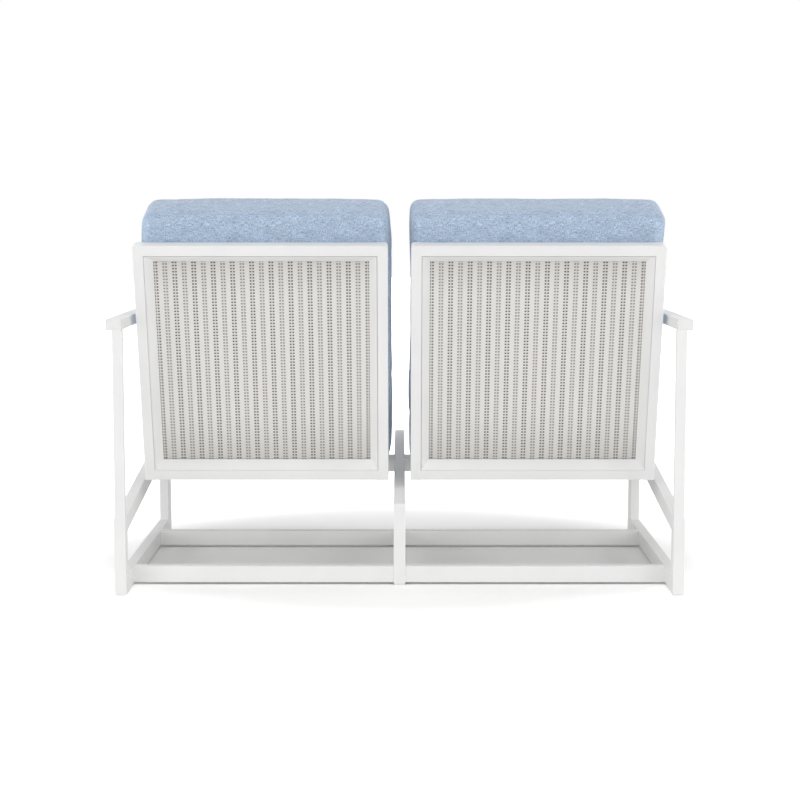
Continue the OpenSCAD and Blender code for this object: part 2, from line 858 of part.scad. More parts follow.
FACE_SHARES = [0.25, 0.5, 0.72, 0.88];
BAND_SHARES = [0, 0.06, 0.2, 0.5, 0.8, 0.94, 1];

// One ring of a face, at a share of the way out from the middle
function face_ring(share, a, b, z, crown) = [
    for (k = [0:cushion_points - 1])
        let (p = outline_point(360 * k / cushion_points, a, b) * share)
        [p[0], p[1], z + crown * dome(p[0], p[1], a, b)]
];

// One ring of the side, which swells between the lower and upper edges
function band_ring(share, a, b, t) =
    let (
        swell = cushion_side_bulge * sin(180 * share),
        tuck = cushion_tuck * pow(abs(2 * share - 1), cushion_tuck_power)
    ) [
        for (k = [0:cushion_points - 1])
            let (p = outline_point(360 * k / cushion_points, a - tuck + swell, b - tuck + swell))
            [p[0], p[1], t * share]
    ];

module cushion(w, l, t) {
    a = w / 2 - cushion_side_bulge;
    b = l / 2 - cushion_side_bulge;
    face_a = a - cushion_tuck;
    face_b = b - cushion_tuck;
    rings = concat(
        [for (share = FACE_SHARES) face_ring(share, face_a, face_b, 0, 0)],
        [for (share = BAND_SHARES) band_ring(share, a, b, t)],
        [for (i = [len(FACE_SHARES) - 1:-1:0])
            face_ring(FACE_SHARES[i], face_a, face_b, t, cushion_crown)]
    );
    skin(rings, [0, 0, 0], [0, 0, t + cushion_crown]);
}

module seat_cushion() {
    color(fabric_blue) at_seat()
        translate([cushion_x - seat_x, -front_reach + seat_cushion_l / 2, seat_top_n + cushion_gap])
            cushion(cushion_w, seat_cushion_l, cushion_t);
}

module back_cushion() {
    color(fabric_blue) at_back()
        translate([cushion_x - seat_x, -back_tube_d - cushion_gap, back_cushion_foot + back_cushion_h / 2])
            rotate([90, 0, 0]) cushion(cushion_w, back_cushion_h, cushion_t);
}

floor_rail(side_in + rail_w / 2);  // left_floor_rail
floor_rail(-side_in - rail_w / 2);  // right_floor_rail
middle_floor_rail();
side_seat_rail();  // left_seat_rail
right_side() side_seat_rail();  // right_seat_rail
middle_seat_rail();
rear_post(side_in + rail_w / 2, rail_w, 0);  // left_rear_post
rear_post(-side_in - rail_w / 2, rail_w, 0);  // right_rear_post
rear_post(0, mid_post_w, mid_post_inset);  // middle_rear_post
middle_front_post();
rear_leg();  // left_rear_leg
right_side() rear_leg();  // right_rear_leg
front_leg();  // left_front_leg
right_side() front_leg();  // right_front_leg
armrest();  // left_armrest
right_side() armrest();  // right_armrest
rear_stretchers();
front_stretchers();
cross_beam();  // left_cross_beam
right_side() cross_beam();  // right_cross_beam
floor_glides();
tube_end_caps();
frame_bolts();
rocker_base();  // left_rocker_base
right_side() rocker_base();  // right_rocker_base
rocker_bolts();
pivot_shaft();  // left_pivot_shaft
right_side() pivot_shaft();  // right_pivot_shaft
shaft_clips();
springs(1);  // left_rear_springs
springs(-1);  // left_front_springs
right_side() springs(1);  // right_rear_springs
right_side() springs(-1);  // right_front_springs
stop_pads();  // left_stop_pads
right_side() stop_pads();  // right_stop_pads
seat_frame();  // left_seat_frame
back_frame();  // left_back_frame
back_sling_frame();  // left_back_sling_frame
back_sling();  // left_back_sling
seat_sling_frame();  // left_seat_sling_frame
seat_sling();  // left_seat_sling
back_cushion();  // left_back_cushion
seat_cushion();  // left_seat_cushion
pivot_plates();  // left_pivot_plates
pivot_bushes();  // left_pivot_bushes
seat_caps();  // left_seat_caps
right_side() seat_frame();  // right_seat_frame
right_side() back_frame();  // right_back_frame
right_side() back_sling_frame();  // right_back_sling_frame
right_side() back_sling();  // right_back_sling
right_side() seat_sling_frame();  // right_seat_sling_frame
right_side() seat_sling();  // right_seat_sling
right_side() back_cushion();  // right_back_cushion
right_side() seat_cushion();  // right_seat_cushion
right_side() pivot_plates();  // right_pivot_plates
right_side() pivot_bushes();  // right_pivot_bushes
right_side() seat_caps();  // right_seat_caps
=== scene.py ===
import json
from math import cos, pi, radians, sin

import bmesh
import bpy
from mathutils import Matrix, Vector, noise


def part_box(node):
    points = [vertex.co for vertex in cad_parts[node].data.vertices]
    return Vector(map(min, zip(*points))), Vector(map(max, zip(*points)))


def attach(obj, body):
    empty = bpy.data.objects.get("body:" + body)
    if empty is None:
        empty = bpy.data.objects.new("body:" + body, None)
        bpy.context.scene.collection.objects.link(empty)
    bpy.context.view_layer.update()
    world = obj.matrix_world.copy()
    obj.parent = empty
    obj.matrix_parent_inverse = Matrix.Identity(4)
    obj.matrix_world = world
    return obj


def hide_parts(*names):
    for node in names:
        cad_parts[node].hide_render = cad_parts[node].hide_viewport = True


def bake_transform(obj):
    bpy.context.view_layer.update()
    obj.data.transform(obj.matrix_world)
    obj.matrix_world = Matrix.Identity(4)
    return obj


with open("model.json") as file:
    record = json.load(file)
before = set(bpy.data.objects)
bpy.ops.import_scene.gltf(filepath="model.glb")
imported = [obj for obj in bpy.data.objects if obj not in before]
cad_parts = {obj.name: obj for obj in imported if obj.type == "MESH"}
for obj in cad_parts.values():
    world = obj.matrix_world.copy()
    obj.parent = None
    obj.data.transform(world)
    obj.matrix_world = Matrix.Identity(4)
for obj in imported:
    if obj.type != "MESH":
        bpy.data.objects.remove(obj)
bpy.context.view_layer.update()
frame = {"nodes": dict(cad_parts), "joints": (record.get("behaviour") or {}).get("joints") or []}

# The bench is seen from behind, from the height of its back, with the lens looking six degrees
# down. Its middle line stands on the picture's middle column, so the camera needs no shift.
EYE = (-0.0011, 4.644, 0.913)
LOOK_DOWN = radians(6.02)
LENS_MM = 81.1
SENSOR_MM = 36

camera = bpy.data.objects.new("camera", bpy.data.cameras.new("camera"))
camera.data.lens = LENS_MM
camera.data.sensor_width = SENSOR_MM
camera.location = EYE
camera.rotation_euler = (pi / 2 - LOOK_DOWN, 0, pi)
bpy.context.scene.collection.objects.link(camera)
bpy.context.scene.camera = camera
bpy.context.scene.view_settings.view_transform = "Standard"


# The studio is a pale floor under a white sky. The sky is pure white to the eye and in reflections,
# and under half as bright as a light. The floor keeps the bench's shadow and is white beside it.
SKY_LIGHT = 0.45
FLOOR_SIZE = 40
FLOOR_WHITE = (0.9, 0.9, 0.9, 1)
FLOOR_SHOWN = (1.08, 1.08, 1.08, 1)
FLOOR_LIFT = 0.35
FAR_LIFT = 1.0
SHADOW_MIDDLE = (0, -0.1, 0)
SHADOW_HALF = (0.745, 0.72, 1)
SHADOW_EDGE = (0.85, 1.25)
FAR_EDGE = (1.2, 3.5)


def add(tree, kind, inputs=(), **settings):
    """Adds a shader node. An input given as a socket is linked, and any other value is set."""
    made = tree.nodes.new(kind)
    for name, value in settings.items():
        setattr(made, name, value)
    pairs = inputs.items() if isinstance(inputs, dict) else enumerate(inputs)
    for key, value in pairs:
        if isinstance(value, bpy.types.NodeSocket):
            tree.links.new(value, made.inputs[key])
        elif value is not None:
            made.inputs[key].default_value = value
    return made


def sums(tree, operation, *values, clamp=False):
    """The result of one Math node."""
    return add(tree, "ShaderNodeMath", values, operation=operation, use_clamp=clamp).outputs[0]


def between(tree, value, low, high, to_low=0.0, to_high=1.0):
    """Carries a value smoothly from one range to another, and holds it at both ends."""
    ranged = add(tree, "ShaderNodeMapRange", (value, low, high, to_low, to_high),
                 interpolation_type="SMOOTHSTEP")
    return ranged.outputs[0]


def mixed(tree, share, first, second, kind="MIX"):
    """A colour between two others."""
    mix = add(tree, "ShaderNodeMix", {0: share, 6: first, 7: second},
              data_type="RGBA", blend_type=kind)
    return mix.outputs[2]


def empty_material(name):
    material = bpy.data.materials.new(name)
    material.use_nodes = True
    material.node_tree.nodes.clear()
    return material, material.node_tree


def finish_material(tree, shader):
    output = tree.nodes.new("ShaderNodeOutputMaterial")
    tree.links.new(shader.outputs[0], output.inputs["Surface"])


def mesh_object(name, bm):
    """Makes a mesh into an object at the origin."""
    made = bpy.data.objects.new(name, bpy.data.meshes.new(name))
    bm.to_mesh(made.data)
    bm.free()
    bpy.context.scene.collection.objects.link(made)
    return made


bm = bmesh.new()
bmesh.ops.create_grid(bm, x_segments=1, y_segments=1, size=FLOOR_SIZE / 2)
floor = mesh_object("floor", bm)
floor_paint, tree = empty_material("studio_floor")
place = add(tree, "ShaderNodeTexCoord").outputs["Object"]
from_middle = add(tree, "ShaderNodeVectorMath", (place, SHADOW_MIDDLE), operation="SUBTRACT")
shares = add(tree, "ShaderNodeVectorMath", (from_middle.outputs[0], SHADOW_HALF), operation="DIVIDE")
away = add(tree, "ShaderNodeVectorMath", (shares.outputs[0],), operation="LENGTH").outputs["Value"]
near_lift = between(tree, away, *SHADOW_EDGE, 0.0, FLOOR_LIFT)
lift = sums(tree, "ADD", near_lift, between(tree, away, *FAR_EDGE, 0.0, FAR_LIFT))
seen = add(tree, "ShaderNodeLightPath").outputs
seen_lift = sums(tree, "MULTIPLY", lift, seen["Is Camera Ray"])
floor_colour = mixed(tree, seen["Is Camera Ray"], FLOOR_WHITE, FLOOR_SHOWN)
matt = add(tree, "ShaderNodeBsdfDiffuse", {"Color": floor_colour})
glow = add(tree, "ShaderNodeEmission", {"Color": (1, 1, 1, 1), "Strength": seen_lift})
finish_material(tree, add(tree, "ShaderNodeAddShader", (matt.outputs[0], glow.outputs[0])))
floor.data.materials.append(floor_paint)

world = bpy.data.worlds.new("white_sky")
bpy.context.scene.world = world
world.use_nodes = True
sky = world.node_tree
sky.nodes.clear()
seen = add(sky, "ShaderNodeLightPath").outputs
direct = sums(sky, "MAXIMUM", seen["Is Camera Ray"], seen["Is Glossy Ray"])
direct = sums(sky, "MAXIMUM", direct, seen["Is Transmission Ray"])
strength = add(sky, "ShaderNodeMapRange", (direct, 0.0, 1.0, SKY_LIGHT, 1.0)).outputs[0]
background = add(sky, "ShaderNodeBackground", {"Color": (1, 1, 1, 1), "Strength": strength})
sky_output = sky.nodes.new("ShaderNodeOutputWorld")
sky.links.new(background.outputs[0], sky_output.inputs["Surface"])

# Soft boxes make a light tent: a low and very wide one behind the camera for the rear faces, one
# on each side a little above the armrests, and two high ones
LAMPS = {
    "rear_softbox": ((0.0, 6.0, 0.95), (9.0, 1.7), 137),
    "left_softbox": ((5.0, 0.0, 1.2), (3.0, 2.0), 92),
    "right_softbox": ((-5.0, 0.0, 1.2), (3.0, 2.0), 92),
    "top_softbox": ((0.0, 1.2, 4.5), (3.0, 3.0), 48),
    "front_softbox": ((0.0, -3.0, 3.5), (4.0, 3.0), 20),
}
AIM = Vector((0, 0, 0.45))
for name, (spot, (wide, tall), power) in LAMPS.items():
    lamp = bpy.data.objects.new(name, bpy.data.lights.new(name, "AREA"))
    lamp.data.shape = "RECTANGLE"
    lamp.data.size = wide
    lamp.data.size_y = tall
    lamp.data.energy = power
    lamp.location = spot
    lamp.rotation_euler = (AIM - Vector(spot)).to_track_quat("-Z", "Y").to_euler()
    bpy.context.scene.collection.objects.link(lamp)


# The frame is welded from rectangular tube and powder coated in satin white: three floor rails,
# sloping seat rails, posts, legs and flat armrests. Stretchers and cross beams are bolted between.
PAINT_WHITE = (0.865, 0.865, 0.858, 1)
PAINT_ROUGHNESS = 0.48
MOTTLE_PER_M = 5.0
MOTTLE_SPAN = (0.35, 0.65)
MOTTLE_TINT = (0.965, 0.965, 0.97, 1)
GLOSS_SPAN = (0.3, 0.7)
GLOSS_DRIFT = (-0.04, 0.05)
PEEL_PER_M = 900.0
PEEL_HEIGHT = 0.00003
PEEL_STRENGTH = 0.6


def group_tree(name, inputs, outputs):
    """Starts a shader node group. Inputs and outputs are pairs of a name and a socket type."""
    group = bpy.data.node_groups.new(name, "ShaderNodeTree")
    for label, kind in inputs:
        group.interface.new_socket(name=label, in_out="INPUT", socket_type=kind)
    for label, kind in outputs:
        group.interface.new_socket(name=label, in_out="OUTPUT", socket_type=kind)
    return group, group.nodes.new("NodeGroupInput").outputs, group.nodes.new("NodeGroupOutput")


def close_group(group, output, **results):
    for label, socket in results.items():
        group.links.new(socket, output.inputs[label])


def coating_group():
    """The drift of tone and the fine orange peel of a baked powder coat."""
    group, given, output = group_tree(
        "baked_coating",
        [("Tint", "NodeSocketColor"), ("Gloss", "NodeSocketFloat"), ("Peel", "NodeSocketFloat")],
        [("Tone", "NodeSocketColor"), ("Rough", "NodeSocketFloat"), ("Relief", "NodeSocketVector")],
    )
    place = add(group, "ShaderNodeTexCoord").outputs["Object"]
    mottle = add(group, "ShaderNodeTexNoise", {
        "Vector": place, "Scale": MOTTLE_PER_M, "Detail": 3.0,
    }).outputs[0]
    peel = add(group, "ShaderNodeTexNoise", {
        "Vector": place, "Scale": given["Peel"], "Detail": 2.0,
    }).outputs[0]
    dull = mixed(group, 1.0, given["Tint"], MOTTLE_TINT, "MULTIPLY")
    tone = mixed(group, between(group, mottle, *MOTTLE_SPAN), given["Tint"], dull)
    rough = sums(group, "ADD", given["Gloss"], between(group, mottle, *GLOSS_SPAN, *GLOSS_DRIFT))
    relief = add(group, "ShaderNodeBump", {
        "Strength": PEEL_STRENGTH, "Distance": PEEL_HEIGHT, "Height": peel,
    })
    close_group(group, output, Tone=tone, Rough=rough, Relief=relief.outputs[0])
    return group


def coated(name, colour, roughness, peel_per_m=PEEL_PER_M, metallic=0.0):
    """A material whose tone, roughness and relief come from the baked coating."""
    material, tree = empty_material(name)
    coat = add(tree, "ShaderNodeGroup", node_tree=BAKED_COATING)
    coat.inputs["Tint"].default_value = colour
    coat.inputs["Gloss"].default_value = roughness
    coat.inputs["Peel"].default_value = peel_per_m
    finish_material(tree, add(tree, "ShaderNodeBsdfPrincipled", {
        "Base Color": coat.outputs["Tone"], "Roughness": coat.outputs["Rough"],
        "Normal": coat.outputs["Relief"], "Metallic": metallic,
    }))
    return material


def dress(material, *names):
    """Gives CAD nodes their finish."""
    for name in names:
        mesh = frame["nodes"][name].data
        if mesh.materials:
            mesh.materials[0] = material
        else:
            mesh.materials.append(material)


def pair(*names):
    """The names of the same piece on both sides."""
    return [f"{side}_{name}" for side in ("left", "right") for name in names]


BAKED_COATING = coating_group()
powder_coat = coated("white_powder_coat", PAINT_WHITE, PAINT_ROUGHNESS)
dress(
    powder_coat,
    "middle_floor_rail", "middle_seat_rail", "middle_rear_post", "middle_front_post",
    "rear_stretchers", "front_stretchers",
    *pair("floor_rail", "seat_rail", "rear_post", "rear_leg", "front_leg", "armrest", "cross_beam"),
)


# Moulded nylon glides keep the rails off the ground, and nylon plugs close the open tube ends.
# They press into the tubes and have a dull, slightly speckled skin.
NYLON_WHITE = (0.845, 0.845, 0.835, 1)
NYLON_ROUGHNESS = 0.5
NYLON_GRAIN_PER_M = 2600.0
nylon = coated("white_nylon", NYLON_WHITE, NYLON_ROUGHNESS, NYLON_GRAIN_PER_M)
dress(nylon, "floor_glides", "tube_end_caps", *pair("seat_caps", "pivot_bushes"))


# Zinc plated steel: the button bolts through the sides, the hexagon bolts under the seats, the
# pivot shafts and the clips that hold them. The plating is bright with fine turning marks.
ZINC_GREY = (0.62, 0.63, 0.65, 1)
ZINC_ROUGHNESS = 0.3
TURNING_PER_M = 4000.0
zinc = coated("bright_zinc_plate", ZINC_GREY, ZINC_ROUGHNESS, TURNING_PER_M, metallic=1.0)
dress(zinc, "frame_bolts", "rocker_bolts", "shaft_clips", *pair("pivot_shaft"))


# The rocker under each seat is pressed steel plate, powder coated like the frame: a base bolted on
# the cross beam and two plates welded under the seat, which swing round the shaft.
PLATE_WHITE = (0.8, 0.8, 0.79, 1)
PLATE_ROUGHNESS = 0.42
plate_coat = coated("rocker_plate_coat", PLATE_WHITE, PLATE_ROUGHNESS)
dress(plate_coat, *pair("rocker_base", "pivot_plates"))


# Four buffers of black rubber stand on the trays and stop each seat at the ends of its swing.
# They are moulded with a matt skin.
RUBBER_BLACK = (0.028, 0.028, 0.03, 1)
RUBBER_ROUGHNESS = 0.75
rubber = coated("black_rubber", RUBBER_BLACK, RUBBER_ROUGHNESS, NYLON_GRAIN_PER_M)
dress(rubber, *pair("stop_pads"))


# Each seat has its own frame of square and flat tube, and a back frame of square tube that leans
# against it. Both carry a bevelled frame that holds a sling. All are powder coated like the bench.
dress(powder_coat, *pair("seat_frame", "back_frame", "back_sling_frame", "seat_sling_frame"))


# Return springs of round wire stand between the trays and the seats, two to a tray. Half a turn
# lies flat at each end, and the rest climbs. The wire is plated.
SPRING_TURNS = 4.5
SPRING_WIRE = 0.004
SPRING_STEPS = 28
WIRE_SIDES = 12
SEAT_SLOPE = radians(7.1)
WIRE_GREY = (0.42, 0.43, 0.45, 1)
WIRE_ROUGHNESS = 0.34
spring_wire = coated("plated_spring_wire", WIRE_GREY, WIRE_ROUGHNESS, TURNING_PER_M, metallic=1.0)


def coil(bm, radius, climb, foot):
    """Adds one coil that stands on z = 0 at foot, with flat end turns."""
    turn_step = 2 * pi / SPRING_STEPS
    wire_start = Matrix.Translation(foot + Vector((radius, 0, SPRING_WIRE / 2)))
    section = bmesh.ops.create_circle(
        bm, segments=WIRE_SIDES, radius=SPRING_WIRE / 2,
        matrix=wire_start @ Matrix.Rotation(pi / 2, 4, "X"),
    )["verts"]
    ring = list({edge for vert in section for edge in vert.link_edges}) + section
    bmesh.ops.contextual_create(bm, geom=[g for g in ring if isinstance(g, bmesh.types.BMEdge)])
    steps_flat = SPRING_STEPS // 2
    steps_rise = round(SPRING_STEPS * (SPRING_TURNS - 1))
    ends = ring
    for steps, rise in ((steps_flat, 0.0), (steps_rise, climb / steps_rise), (steps_flat, 0.0)):
        ends = bmesh.ops.spin(
            bm, geom=ends, cent=foot, axis=(0, 0, 1), dvec=(0, 0, rise), angle=turn_step * steps,
            steps=steps, use_merge=False,
        )["geom_last"]
    bmesh.ops.contextual_create(bm, geom=[g for g in ends if isinstance(g, bmesh.types.BMEdge)])


for side, end in (("left", "rear"), ("left", "front"), ("right", "rear"), ("right", "front")):
    node = f"{side}_{end}_springs"
    low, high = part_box(node)
    # Box of a pair of coils, tilted with the slope: its depth and height give the coils' own sizes
    width = high.x - low.x
    depth, height = high.y - low.y, high.z - low.z
    spring_d = (depth * cos(SEAT_SLOPE) - height * sin(SEAT_SLOPE)) / cos(2 * SEAT_SLOPE)
    spring_h = (height * cos(SEAT_SLOPE) - depth * sin(SEAT_SLOPE)) / cos(2 * SEAT_SLOPE)
    radius = (spring_d - SPRING_WIRE) / 2
    apart = (width - spring_d) / 2
    bm = bmesh.new()
    for across in (-apart, apart):
        coil(bm, radius, spring_h - SPRING_WIRE, Vector((across, 0, -spring_h / 2)))
    bmesh.ops.recalc_face_normals(bm, faces=bm.faces)
    tilt = Matrix.Translation((low + high) / 2) @ Matrix.Rotation(-SEAT_SLOPE, 4, "X")
    bmesh.ops.transform(bm, matrix=tilt, verts=bm.verts)
    coils = mesh_object(f"{side}_{end}_coils", bm)
    coils.data.materials.append(spring_wire)
    coils.data.shade_smooth()
    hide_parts(node)
    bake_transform(coils)


# The slings are open woven fabric in warm light grey, stretched in the grooves of the back and seat
# sling frames. Flat ribs run up the cloth. Between every two ribs lie two columns of small slits, and
# each pair of columns lies half a slit off the next. The slits are longer than woven ones, to show.
# The slits are not cut: they are painted near black, a painted shade for the gap seen through them.
# The ribs darken towards their feet beside the slits, also a painted shade.
BACK_LEAN = radians(9.1)
SLING_T = 0.0016
BAND_PITCH = 0.0233
SLIT_PITCH = 0.0078
SLIT_SPREAD = 0.0036
SLIT_HALF = 0.0020
SLIT_SOFT = (0.9, 1.15)
SLIT_LENGTH = (0.2, 0.26)
HALF_SLIT = 0.5
OPENNESS = (0.68, 0.9)
RIB_FOOT_SHADE = 0.9
SLING_THREADS = (260.0, 1900.0, 1.0)
SLING_THREAD_SPAN = (0.25, 0.75)
SLING_THREAD_SHADE = (0.93, 1.04)
SLING_THREAD_RELIEF = 0.15
SLING_BUMP = 0.8
SLING_BUMP_HEIGHT = 0.0006
CLOTH_START = (50.5, 200)
RIB_RISE = 0.0006
RIB_POINTS = 8
RIB_GREY = (0.78, 0.755, 0.725, 1)
SLIT_SHADOW_GREY = (0.02, 0.019, 0.018, 1)


def sling_group():
    """Ribs and slits from flat cloth coordinates in metres: tone with painted shade in the slits and at
    the rib feet, and the relief of the threads.
    """
    group, given, output = group_tree(
        "sling_weave",
        [("Cloth", "NodeSocketVector"), ("Rib", "NodeSocketColor"), ("Slit shadow", "NodeSocketColor")],
        [("Tone", "NodeSocketColor"), ("Relief", "NodeSocketVector")],
    )
    parts = add(group, "ShaderNodeSeparateXYZ", (given["Cloth"],)).outputs
    across = sums(group, "DIVIDE", parts["X"], BAND_PITCH)
    parity = sums(group, "MODULO", sums(group, "FLOOR", across), 2.0)
    in_band = sums(group, "SUBTRACT", sums(group, "FRACT", across), 0.5)
    from_middle = sums(group, "MULTIPLY", sums(group, "ABSOLUTE", in_band), BAND_PITCH)
    from_slit = sums(group, "ABSOLUTE", sums(group, "SUBTRACT", from_middle, SLIT_SPREAD))
    in_column = between(group, from_slit, SLIT_HALF * SLIT_SOFT[0], SLIT_HALF * SLIT_SOFT[1], 1.0, 0.0)
    offset = sums(group, "MULTIPLY", parity, HALF_SLIT)
    along = sums(group, "ADD", sums(group, "DIVIDE", parts["Y"], SLIT_PITCH), offset)
    from_row = sums(group, "ABSOLUTE", sums(group, "SUBTRACT", sums(group, "FRACT", along), 0.5))
    in_row = between(group, from_row, *SLIT_LENGTH, 1.0, 0.0)
    openness = between(group, parity, 0.0, 1.0, *OPENNESS)
    slit = sums(group, "MULTIPLY", sums(group, "MULTIPLY", in_column, in_row), openness)
    # Painted shade: each rib is darkened towards its feet beside the slit columns, for the shade on its
    # rounded sides
    beside = between(group, from_middle, 0.0, SLIT_SPREAD + SLIT_HALF, RIB_FOOT_SHADE, 1.0)
    stretched = add(group, "ShaderNodeVectorMath", (given["Cloth"], SLING_THREADS), operation="MULTIPLY")
    thread = add(group, "ShaderNodeTexNoise", {
        "Vector": stretched.outputs[0], "Scale": 1.0, "Detail": 2.0,
    }).outputs[0]
    thread_shade = between(group, thread, *SLING_THREAD_SPAN, *SLING_THREAD_SHADE)
    shade = sums(group, "MULTIPLY", beside, thread_shade)
    shade_colour = add(group, "ShaderNodeCombineColor", (shade, shade, shade)).outputs[0]
    rib = mixed(group, 1.0, given["Rib"], shade_colour, "MULTIPLY")
    # Painted shade: the slits take the near black colour of the shadowed gap behind the cloth
    tone = mixed(group, slit, rib, given["Slit shadow"])
    height = sums(group, "SUBTRACT", sums(group, "MULTIPLY", thread, SLING_THREAD_RELIEF), slit)
    relief = add(group, "ShaderNodeBump", {
        "Strength": SLING_BUMP, "Distance": SLING_BUMP_HEIGHT, "Height": height,
    })
    close_group(group, output, Tone=tone, Relief=relief.outputs[0])
    return group


SLING_WEAVE = sling_group()
sling_cloth, tree = empty_material("grey_sling_cloth")
weave = add(tree, "ShaderNodeGroup", node_tree=SLING_WEAVE)
flat_cloth = add(tree, "ShaderNodeUVMap", uv_map="cloth").outputs[0]
tree.links.new(flat_cloth, weave.inputs["Cloth"])
weave.inputs["Rib"].default_value = RIB_GREY
weave.inputs["Slit shadow"].default_value = SLIT_SHADOW_GREY
finish_material(tree, add(tree, "ShaderNodeBsdfPrincipled", {
    "Base Color": weave.outputs["Tone"], "Normal": weave.outputs["Relief"],
    "Roughness": 0.62, "Sheen Weight": 0.12, "Sheen Roughness": 0.5,
}))


def sling(name, node, tilt, body):
    """A ribbed sheet as large as the CAD sling. It stands in x-z before it is tilted about X."""
    low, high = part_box(node)
    depth, height = high.y - low.y, high.z - low.z
    width = high.x - low.x
    length = (height - SLING_T * abs(sin(tilt))) / cos(tilt)
    bands = width / BAND_PITCH
    bm = bmesh.new()
    bmesh.ops.create_grid(bm, x_segments=round(bands * RIB_POINTS), y_segments=4, size=0.5)
    bmesh.ops.scale(bm, vec=(width, length, 1), verts=bm.verts)
    uv = bm.loops.layers.uv.new("cloth")
    for face in bm.faces:
        for loop in face.loops:
            loop[uv].uv = (loop.vert.co.x + CLOTH_START[0] * BAND_PITCH,
                           loop.vert.co.y + CLOTH_START[1] * SLIT_PITCH)
    for vert in bm.verts:
        vert.co.z = -RIB_RISE * cos(2 * pi * vert.co.x / BAND_PITCH) / 2
    turn = Matrix.Translation((low + high) / 2) @ Matrix.Rotation(-tilt, 4, "X")
    turn = turn @ Matrix.Rotation(-pi / 2, 4, "X")
    bmesh.ops.transform(bm, matrix=turn @ Matrix.Rotation(pi, 4, "Z"), verts=bm.verts)
    cloth = mesh_object(name, bm)
    cloth.data.materials.append(sling_cloth)
    cloth.data.shade_smooth()
    thick = cloth.modifiers.new("cloth_thickness", "SOLIDIFY")
    thick.thickness = SLING_T - RIB_RISE
    thick.offset = 0
    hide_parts(node)
    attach(cloth, body)


for side in ("left", "right"):
    sling(f"{side}_back_sling_cloth", f"{side}_back_sling",
          BACK_LEAN + SEAT_SLOPE, f"{side}_seat")
    sling(f"{side}_seat_sling_cloth", f"{side}_seat_sling",
          SEAT_SLOPE - pi / 2, f"{side}_seat")


# Box cushions of foam in heathered light blue cloth: one lies on the seat, and one stands on it and
# leans against the back. Two faces are sewn to a band that runs round the side, with plain seams.
# Along the seams the cloth is painted darker, a painted shade for the crease of the seam.
BLUE_LIGHT = (0.64, 0.73, 0.83, 1)
BLUE_MID = (0.395, 0.50, 0.64, 1)
BLUE_DARK = (0.17, 0.26, 0.44, 1)
THREAD = 0.0011
WEFT_THREADS = (75.0, 620.0, 1.0)
WARP_THREADS = (620.0, 130.0, 1.0)
CLOUDS = (22.0, 40.0, 1.0)
LIGHT_SPAN = (0.5, 0.64)
DARK_SPAN = (0.5, 0.36)
CLOUD_SPAN = (0.3, 0.7)
CLOUD_SHADE = (0.93, 1.07)
SEAM_SHADE_START = 0.72
SEAM_PAINTED_SHADE = 0.3
CROSSING_RELIEF = 0.3
WEAVE_BUMP = 0.7
WEAVE_BUMP_HEIGHT = 0.0005


def heather_group():
    """Threads of three blues crossing in a plain weave, from flat cloth coordinates in metres, with
    painted shade along the seams.
    """
    group, given, output = group_tree(
        "heathered_weave",
        [("Cloth", "NodeSocketVector"), ("Light", "NodeSocketColor"), ("Mid", "NodeSocketColor"),
         ("Dark", "NodeSocketColor"), ("Seam", "NodeSocketFloat")],
        [("Tone", "NodeSocketColor"), ("Relief", "NodeSocketVector")],
    )

    def threads(stretch, detail):
        place = add(group, "ShaderNodeVectorMath", (given["Cloth"], stretch), operation="MULTIPLY")
        return add(group, "ShaderNodeTexNoise", {
            "Vector": place.outputs[0], "Scale": 1.0, "Detail": detail,
        }).outputs[0]

    weft = threads(WEFT_THREADS, 2.0)
    warp = threads(WARP_THREADS, 2.0)
    cloud = threads(CLOUDS, 3.0)
    parts = add(group, "ShaderNodeSeparateXYZ", (given["Cloth"],)).outputs
    wave_x = sums(group, "SINE", sums(group, "MULTIPLY", parts["X"], pi / THREAD))
    wave_y = sums(group, "SINE", sums(group, "MULTIPLY", parts["Y"], pi / THREAD))
    crossing = sums(group, "MULTIPLY", wave_x, wave_y)
    over = between(group, crossing, -0.4, 0.4)
    thread = add(group, "ShaderNodeMix", {0: over, 2: weft, 3: warp}, data_type="FLOAT").outputs[0]
    lights = between(group, thread, *LIGHT_SPAN)
    darks = between(group, thread, *DARK_SPAN)
    tone = mixed(group, lights, given["Mid"], given["Light"])
    tone = mixed(group, darks, tone, given["Dark"])
    cloud_shade = between(group, cloud, *CLOUD_SPAN, *CLOUD_SHADE)
    cloud_grey = add(group, "ShaderNodeCombineColor", (cloud_shade, cloud_shade, cloud_shade))
    tone = mixed(group, 1.0, tone, cloud_grey.outputs[0], "MULTIPLY")
    # Painted shade: near a seam the tone is mixed towards the dark blue, for the shade in the crease
    seam_shade_share = between(group, given["Seam"], SEAM_SHADE_START, 1.0)
    tone = mixed(group, sums(group, "MULTIPLY", seam_shade_share, SEAM_PAINTED_SHADE), tone, given["Dark"])
    height = sums(group, "ADD", sums(group, "MULTIPLY", crossing, CROSSING_RELIEF), thread)
    relief = add(group, "ShaderNodeBump", {
        "Strength": WEAVE_BUMP, "Distance": WEAVE_BUMP_HEIGHT, "Height": height,
    })
    close_group(group, output, Tone=tone, Relief=relief.outputs[0])
    return group


HEATHERED_WEAVE = heather_group()
blue_cloth, tree = empty_material("heathered_blue_cloth")
weave = add(tree, "ShaderNodeGroup", node_tree=HEATHERED_WEAVE)
tree.links.new(add(tree, "ShaderNodeUVMap", uv_map="cloth").outputs[0], weave.inputs["Cloth"])
seam_mark = add(tree, "ShaderNodeAttribute", attribute_name="seam").outputs["Fac"]
tree.links.new(seam_mark, weave.inputs["Seam"])
weave.inputs["Light"].default_value = BLUE_LIGHT
weave.inputs["Mid"].default_value = BLUE_MID
weave.inputs["Dark"].default_value = BLUE_DARK
finish_material(tree, add(tree, "ShaderNodeBsdfPrincipled", {
    "Base Color": weave.outputs["Tone"], "Normal": weave.outputs["Relief"],
    "Roughness": 0.85, "Sheen Weight": 0.25, "Sheen Roughness": 0.4,
}))

